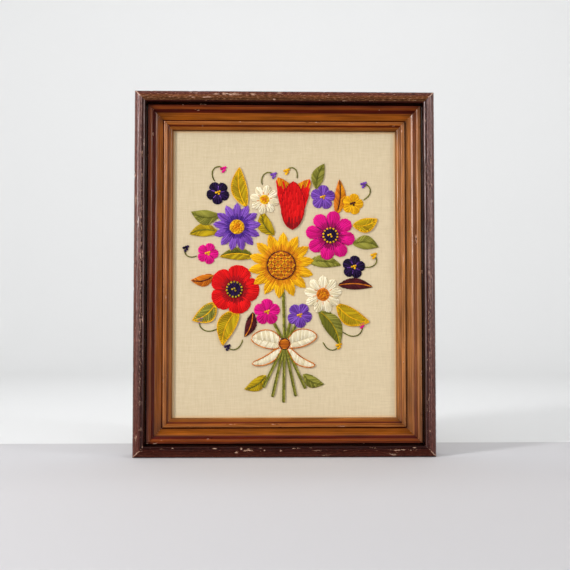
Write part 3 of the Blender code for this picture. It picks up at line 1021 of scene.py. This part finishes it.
def padding(node, lift):
    """The node's own low form, pressed down to a layer of padding under the stitches."""
    body = merged_copy(node)
    low = min(vert.co.y for vert in body.verts)
    high = max(vert.co.y for vert in body.verts)
    bottom = LINEN_Y - (lift + 0.05) * MM
    top = LINEN_Y - (lift + PADDING_HEIGHT) * MM
    for vert in body.verts:
        vert.co.y = bottom + (top - bottom) * (high - vert.co.y) / (high - low)
    return body


def work(name, main, groups, stands_for=(), lift=0.0):
    """One worked area: padding and stitches in their yarns, in one piece that rides on the panel."""
    body = padding(stands_for[0], lift) if stands_for else bmesh.new()
    used = [main]
    for colour, stitches in groups:
        if not stitches:
            continue
        if colour not in used:
            used.append(colour)
        mesh = strands_mesh(stitches)
        before = len(body.faces)
        body.from_mesh(mesh)
        bpy.data.meshes.remove(mesh)
        body.faces.ensure_lookup_table()
        for face in body.faces[before:]:
            face.material_index = used.index(colour)
    bmesh.ops.remove_doubles(body, verts=body.verts, dist=0.000002)
    made = add_piece(name, mesh_from(body, name, [YARNS[colour] for colour in used]))
    if stands_for:
        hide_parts(*stands_for)
    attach(made, "root")


def radial(outline, middle, inner, rows, pitch=1.8, jitter=0.6):
    """Long and short stitches that run in towards a middle, in rows from the edge inwards.

    Each row has its yarn, its outer and inner share of the way from the edge to the inner radius."""
    groups = []
    middle = Vector(middle)
    mean = sum((point - middle).length for point in outline) / len(outline)
    for colour, outer_share, inner_share in rows:
        stitches = []
        radius = mean + (inner - mean) * (outer_share + inner_share) / 2
        count = int(math.tau * radius / pitch)
        for index in range(count):
            angle = math.tau * (index + random.uniform(-0.15, 0.15)) / count
            way = Vector((math.sin(angle), math.cos(angle)))
            edge = edge_distance(outline, middle, way)
            if edge <= inner:
                continue
            ragged = jitter * (index % 2) * 2
            start = edge + (inner - edge) * outer_share
            end = edge + (inner - edge) * inner_share
            if outer_share > 0:
                start += ragged + random.uniform(0, jitter)
            if inner_share < 1:
                end -= ragged * 1.4 + random.uniform(0, jitter)
            stitches.append(straight(middle + way * start, middle + way * max(end, inner - 0.5)))
        groups.append((colour, stitches))
    return groups


def satin(outline, degrees, pitch=1.8, longest=13.0):
    """Parallel stitches across an area, split into overlapping lengths where it is wide."""
    angle = math.radians(degrees)
    way = Vector((math.sin(angle), math.cos(angle)))
    side = Vector((way.y, -way.x))
    spans = [point.dot(side) for point in outline]
    stitches = []
    count = max(1, int((max(spans) - min(spans)) / pitch))
    for index in range(count):
        offset = min(spans) + (max(spans) - min(spans)) * (index + 0.5) / count
        place = side * offset
        cuts = crossings(outline, place, way)
        for start, end in zip(cuts[::2], cuts[1::2]):
            pieces = max(1, math.ceil((end - start) / longest))
            bounds = [start + (end - start) * piece / pieces for piece in range(pieces + 1)]
            for piece in range(1, pieces):
                bounds[piece] += (2.4 if index % 2 else -2.4) + random.uniform(-2.0, 2.0)
            for piece, (first, last) in enumerate(zip(bounds, bounds[1:])):
                first -= 1.6 if piece else 0.0
                if last - first > 0.8:
                    stitches.append(straight(place + way * first, place + way * last, 0.12 * piece))
    return stitches


def knots(middle, radius, spacing, lift=0.0, thick=1.0):
    """French knots set in a spiral that fills a disc."""
    stitches = []
    count = int(0.85 * (radius / (spacing / 2)) ** 2)
    for index in range(count):
        reach = radius * math.sqrt((index + 0.5) / count)
        angle = index * math.radians(137.5)
        place = Vector(middle) + Vector((math.sin(angle), math.cos(angle))) * reach
        stitches.append(knot(place, lift, thick))
    return stitches


def blanket_edge(outline, spacing=2.6, length=2.6, lift=0.5):
    """Blanket stitch: a line along the outline, with a short stitch inwards at every step."""
    ring = outline + outline[:1]
    stitches = running_line(ring, 2.6, lift, 0.6, 0.1)
    total = 0.0
    for first, second in zip(ring, ring[1:]):
        span = (second - first).length
        while total < span:
            place = first.lerp(second, total / span)
            inwards = Vector((-(second - first).y, (second - first).x)).normalized()
            if edge_distance(outline, place + inwards * 0.2, inwards) == 0.0:
                inwards.negate()
            room = edge_distance(outline, place + inwards * 0.2, inwards)
            if room > 0.8:
                inner = place + inwards * min(length, room)
                stitches.append(straight(place, inner, lift, 0.6))
            total += spacing
        total -= span
    return stitches


# Sunflower
# The largest flower: golden petals in long and short stitch that deepen to amber, with a line of stem
# stitch between petals. Its heart is padded satin stitch under a trellis tied down at each crossing.
SUNFLOWER = (-4, 10)
SUNFLOWER_HEART = 17
SUNFLOWER_PETALS = 14
SUNFLOWER_TURN = 4

head = outline_of("sunflower")
groups = radial(
    head, SUNFLOWER, SUNFLOWER_HEART - 1, [("gold", 0.0, 0.62), ("amber", 0.52, 1.0)]
)


def petal_lines(middle, inner, outer, petals, turn, lift=0.45, thick=0.6):
    """Stem stitch from the heart out to each notch between two petals."""
    stitches = []
    for petal in range(petals):
        angle = math.radians(turn) + (petal + 0.5) * math.tau / petals
        way = Vector((math.sin(angle), math.cos(angle)))
        ends = Vector(middle) + way * inner, Vector(middle) + way * outer
        stitches += running_line(list(ends), 3.6, lift, thick, 0.15)
    return stitches


lines = petal_lines(SUNFLOWER, SUNFLOWER_HEART, 25.5, SUNFLOWER_PETALS, SUNFLOWER_TURN)
work("sunflower_petals", "gold", groups + [("orange", lines)], ["sunflower"])

disc = outline_of("sunflower_heart")
middle = Vector(SUNFLOWER)
trellis, ties = [], []
TRELLIS_PITCH = 5.6
TRELLIS_WAYS = (45, 135)
for degrees in TRELLIS_WAYS:
    way = Vector((math.sin(math.radians(degrees)), math.cos(math.radians(degrees))))
    side = Vector((way.y, -way.x))
    for step in range(-3, 4):
        place = middle + side * step * TRELLIS_PITCH
        cuts = crossings(disc, place, way)
        if len(cuts) == 2 and cuts[1] - cuts[0] > 4:
            trellis.append(straight(place + way * cuts[0], place + way * cuts[1], HEART_LIFT + 0.7, 0.55))
for across in range(-3, 4):
    for along in range(-3, 4):
        offset = Vector(((across + along) * TRELLIS_PITCH, (across - along) * TRELLIS_PITCH)) / math.sqrt(2)
        if offset.length < SUNFLOWER_HEART - 2:
            for slope in (1, -1):
                tick = Vector((0.9, 0.9 * slope))
                ties.append(straight(middle + offset - tick, middle + offset + tick, HEART_LIFT + 1.1, 0.6))
base = lifted(satin(disc, 90, 1.8, 12), HEART_LIFT)
ring = running_line(disc + disc[:1], 3.0, HEART_LIFT + 0.3, 0.8, 0.15)
work(
    "sunflower_trellis", "orange",
    [("orange", base), ("maroon", ring + ties), ("gold", trellis)], ["sunflower_heart"], HEART_LIFT,
)


# Daisies, cosmos, aster and poppy
# Flower heads in long and short stitch that runs in to the heart, a second shade worked into the first.
# Their hearts are French knots packed close, or satin stitch with a ring of knots.
# Flower, main yarn, middle x and z, heart radius, petals, turn, inner yarn, line yarn, reach of the lines
HEADS = (
    ("cosmos", "magenta", 55, 46, 9.5, 8, 10, "rose", "plum", 19.0),
    ("aster", "violet", -57, 56, 9, 13, 0, "indigo", "indigo", 17.5),
    ("poppy", "scarlet", -60, -19, 10, 5, 18, "crimson", "crimson", 21.0),
    ("daisy_low", "cream", 46, -25, 8, 9, 0, "cream", "orange", 13.0),
    ("daisy_high", "cream", -24, 89, 6, 8, 12, "cream", "orange", 10.0),
)
# Heart, main yarn, knots' yarn, radius, whether the knots fill it
HEART_WORK = (
    ("cosmos", "plum", "gold", 9.5, False),
    ("aster", "gold", "amber", 9, True),
    ("poppy", "plum", "olive", 10, False),
    ("daisy_low", "orange", "amber", 8, True),
    ("daisy_high", "gold", "orange", 6, True),
)
for name, colour, x, z, heart, petals, turn, inner, line, reach in HEADS:
    outline = outline_of(name)
    rows = [(colour, 0.0, 0.66), (inner, 0.56, 1.0)]
    if inner == colour:
        rows = [(colour, 0.0, 1.0)]
    groups = radial(outline, (x, z), heart - 1, rows)
    lines = petal_lines((x, z), heart, reach, petals, turn)
    work(name + "_petals", colour, groups + [(line, lines)], [name])

middles = {head[0]: head[2:4] for head in HEADS}
for name, colour, knot_colour, radius, filled in HEART_WORK:
    place = middles[name]
    node = name + "_heart"
    if filled:
        laid = knots(place, radius - 1.0, 2.7, HEART_LIFT + 0.2)
        split = len(laid) // 3
        groups = [(knot_colour, laid[:split]), (colour, laid[split:])]
    else:
        laid = lifted(satin(outline_of(node), 30, 1.8, 11), HEART_LIFT)
        rim = []
        count = round(math.tau * (radius - 1) / 3.7)
        for index in range(count):
            angle = math.tau * index / count
            spot = Vector(place) + Vector((math.sin(angle), math.cos(angle))) * (radius - 1)
            rim.append(knot(spot, HEART_LIFT + 0.6, 0.85))
        groups = [(colour, laid), (knot_colour, rim + knots(place, 2.8, 2.6, HEART_LIFT + 0.7, 0.85))]
    work(name + "_knots", colour, groups, [node], HEART_LIFT)


# Small blossoms
# Five-petalled filling flowers in satin stitch that runs out from the middle, with a few gold knots.
# Blossom, main yarn, middle x and z, turn, yarn of the lines, yarn of the knots
BLOSSOMS = (
    ("blossom_rose", "magenta", -21, -46, 0, "rose", "gold"),
    ("blossom_lilac", "violet", 18, -50, 30, "indigo", "gold"),
    ("blossom_plum", "plum", 83, 8, 10, "violet", "gold"),
    ("blossom_side", "magenta", -92, 24, 20, "rose", "gold"),
    ("blossom_top", "violet", 46, 92, 5, "indigo", "gold"),
    ("blossom_gold", "gold", 82, 84, 15, "orange", "maroon"),
    ("blossom_dark", "plum", -80, 97, 40, "violet", "gold"),
)
for name, colour, x, z, turn, line, knot_colour in BLOSSOMS:
    outline = outline_of(name)
    groups = radial(outline, (x, z), 1.6, [(colour, 0.0, 1.0)], 1.7)
    lines = petal_lines((x, z), 3.0, 8.6, 5, turn)
    laid = knots((x, z), 2.9, 2.5, 0.9, 0.85)
    work(name + "_petals", colour, groups + [(line, lines), (knot_colour, laid)], [name])


# Tulip
# Three petals in long and short stitch along their length. They are crimson at the foot, and the two
# side petals have amber tips.
CRIMSON_BELOW = 0.2
AMBER_ABOVE = 0.86
# Petal, foot x and z, tip x and z
TULIP = (
    ("tulip_front", 9, 53, 11, 111),
    ("tulip_left", 7, 54, -8, 116),
    ("tulip_right", 11, 54, 30, 114),
)
for name, foot_x, foot_z, tip_x, tip_z in TULIP:
    outline = outline_of(name)
    groups = {"scarlet": [], "crimson": [], "amber": []}
    for stitch in satin(outline, math.degrees(math.atan2(tip_x - foot_x, tip_z - foot_z)), 1.8, 12):
        height = (stitch[2][0].y - foot_z) / (tip_z - foot_z)
        shade = "crimson" if height < CRIMSON_BELOW else "scarlet"
        if height > AMBER_ABOVE and name != "tulip_front":
            shade = "amber"
        groups[shade].append(stitch)
    edge = running_line(outline + outline[:1], 3.2, 0.4, 0.65, 0.15) if name == "tulip_front" else []
    work(name + "_petal", "scarlet", list(groups.items()) + [("crimson", edge)], [name])


# Leaves
# Fishbone stitch: slanting stitches from the midrib to the edge on both sides, then a midrib of stem
# stitch. The broad ones have a gold blanket-stitched edge.
# Leaf, main yarn, yarn of the far side, yarn of the rib, foot x and z, tip x and z, bend, edged
LEAVES = (
    ("leaf_top", "sage", "sage", "moss", 38, 102, 48, 133, 3, False),
    ("leaf_orange", "orange", "amber", "maroon", 62, 70, 66, 114, -3, False),
    ("leaf_upper_right", "olive", "olive", "gold", 82, 58, 112, 66, -4, True),
    ("leaf_right", "sage", "sage", "moss", 82, 36, 113, 32, 4, False),
    ("leaf_mid_right", "maroon", "maroon", "orange", 64, -14, 106, -16, 3, False),
    ("leaf_low_right", "olive", "olive", "gold", 62, -36, 102, -58, -6, True),
    ("leaf_down_right", "sage", "moss", "olive", 40, -44, 66, -86, 6, False),
    ("leaf_inner_right", "sage", "sage", "moss", 28, 14, 68, 10, 3, False),
    ("leaf_inner_high", "olive", "olive", "moss", -12, 46, -26, 76, 6, False),
    ("leaf_crown", "olive", "olive", "gold", -46, 80, -54, 128, 5, True),
    ("leaf_upper_left", "sage", "sage", "moss", -78, 70, -112, 74, 5, False),
    ("leaf_left", "olive", "olive", "moss", -80, 50, -114, 47, -4, False),
    ("leaf_inner_left", "olive", "moss", "gold", -36, 20, -78, 20, -4, False),
    ("leaf_mid_left", "orange", "orange", "maroon", -84, -2, -112, -8, 4, False),
    ("leaf_low_left", "sage", "sage", "gold", -82, -34, -110, -56, 5, True),
    ("leaf_down_left", "olive", "olive", "gold", -54, -42, -74, -86, -6, True),
    ("leaf_maroon", "maroon", "maroon", "orange", -38, -46, -48, -76, 3, False),
    ("leaf_stem_left", "olive", "olive", "moss", -22, -121, -48, -138, 4, False),
    ("leaf_stem_right", "sage", "sage", "moss", 22, -120, 47, -132, -4, False),
)


def fishbone(outline, foot, tip, bend, slant=42, pitch=2.5):
    """Slanting stitches on the two sides of a curved midrib, and the midrib's own line."""
    foot, tip = Vector(foot), Vector(tip)
    along = (tip - foot).normalized()
    side = Vector((-along.y, along.x))
    count = round((tip - foot).length / pitch)
    slant = math.radians(slant)
    halves = ([], [])
    rib_line = []
    for index in range(-2, count):
        share = (index + 0.5) / count
        rib = foot.lerp(tip, share) + side * bend * 4 * share * (1 - share)
        lean = along + side * bend * 4 * (1 - 2 * share) / (tip - foot).length
        lean.normalize()
        across = Vector((-lean.y, lean.x))
        if edge_distance(outline, rib, lean) > 0:
            rib_line.append(rib)
        for half, sign in zip(halves, (1, -1)):
            way = (lean * math.cos(slant) + across * sign * math.sin(slant)).normalized()
            cuts = [distance for distance in crossings(outline, rib, way) if distance > 0]
            if len(cuts) == 1 or len(cuts) == 3:
                if cuts[0] > 1.0:
                    half.append(straight(rib, rib + way * cuts[0]))
            elif len(cuts) == 2 and cuts[1] - cuts[0] > 1.0:
                half.append(straight(rib + way * cuts[0], rib + way * cuts[1]))
    return halves[0], halves[1], rib_line


for name, colour, far, rib, foot_x, foot_z, tip_x, tip_z, bend, edged in LEAVES:
    outline = outline_of(name)
    near_side, far_side, rib_line = fishbone(outline, (foot_x, foot_z), (tip_x, tip_z), bend)
    vein = running_line(rib_line, 3.4, 0.5, 0.7, 0.2) if len(rib_line) > 1 else []
    groups = [(colour, near_side), (far, far_side), (rib, vein)]
    if edged:
        groups.append(("gold", blanket_edge(outline)))
    work(name.replace("leaf", "fishbone"), colour, groups, [name])


# Stems
# Bundles of stems in stem stitch, two rows to a stem, gathered where the ribbon is tied.
TIE = Vector((0, -84))
STEM_START = 7.0
STEM_LATEST_START = 12.0
# Stem bundle, then the length and angle of each stem
STEMS = (
    ("stems_above", ((36, -27), (62, -1.5), (34, 15), (34, 31))),
    ("stems_below", ((58, 155), (63, 168), (69, 181), (64, 193), (57, 206))),
)
STEM_ROWS = (-0.85, 0.85)
for name, stems in STEMS:
    outline = outline_of(name)
    light_rows, dark_rows = [], []
    for length, degrees in stems:
        way = Vector((math.sin(math.radians(degrees)), math.cos(math.radians(degrees))))
        side = Vector((way.y, -way.x))
        for row, rows in zip(STEM_ROWS, (light_rows, dark_rows)):
            cuts = [cut for cut in crossings(outline, TIE + side * row, way) if cut > 0]
            start = min(cuts[-2] if len(cuts) > 1 else STEM_START, STEM_LATEST_START)
            end = cuts[-1] if cuts else length
            line = [TIE + side * row + way * start, TIE + side * row + way * end]
            rows += running_line(line, 4.0, 0.0, 1.05, 0.35)
    work(name.replace("stems", "stem_stitch"), "sage", [("sage", light_rows), ("moss", dark_rows)], [name])


# Ribbon bow
# Two loops and two tails in cream satin stitch, creased along the middle and outlined in orange stem
# stitch, round a padded knot.
# Loop or tail, foot x and z, tip x and z
BOW = (
    ("bow_left", -3, -85, -40, -77),
    ("bow_right", 3, -85, 39, -74),
    ("tail_left", -3, -87, -39, -108),
    ("tail_right", 3, -87, 37, -110),
)
for name, foot_x, foot_z, tip_x, tip_z in BOW:
    outline = outline_of(name)
    upper, lower, _ = fishbone(outline, (foot_x, foot_z), (tip_x, tip_z), 0, 68, 1.85)
    edge = running_line(outline + outline[:1], 3.0, 0.4, 0.7, 0.15)
    work(name + "_satin", "cream", [("cream", upper + lower), ("orange", edge)], [name])

knot_ring = outline_of("bow_knot")
laid = satin(knot_ring, 90, 1.7, 14)
edge = running_line(knot_ring + knot_ring[:1], 2.6, 0.3, 0.8, 0.15)
work("bow_knot_satin", "orange", [("orange", laid), ("maroon", edge)], ["bow_knot"])


# Tendrils
# Fine curled lines of stem stitch, each with a bud of French knots at its end, worked last in the open
# places round the bouquet.
# Bud yarn, start x and z, way in degrees, length, turn over the length in degrees
TENDRILS = (
    ("magenta", -84, 111, -30, 30, 190),
    ("violet", -27, 107, -10, 27, 170),
    ("gold", 15, 115, 10, 25, -190),
    ("violet", 95, 89, 60, 28, -170),
    ("plum", -105, 21, 250, 23, 160),
    ("gold", 97, 8, 95, 26, -170),
    ("violet", -80, -66, 245, 32, 150),
    ("magenta", 70, -70, 125, 34, -160),
    ("plum", -50, -79, 195, 26, 140),
    ("gold", 46, -82, 155, 26, -150),
)
CURL_STEPS = 14
stems, buds = [], {}
for bud_colour, x, z, degrees, length, turn in TENDRILS:
    place = Vector((x, z))
    points = [place.copy()]
    for step in range(CURL_STEPS):
        angle = math.radians(degrees + turn * (step / CURL_STEPS) ** 1.5)
        place = place + Vector((math.sin(angle), math.cos(angle))) * length / CURL_STEPS
        points.append(place.copy())
    stems += running_line(points, 3.0, -0.5, 0.75, 0.2)
    buds.setdefault(bud_colour, []).extend(knots(points[-1], 3.5, 2.7, -0.2, 1.1))
work("tendrils", "moss", [("moss", stems), *buds.items()])
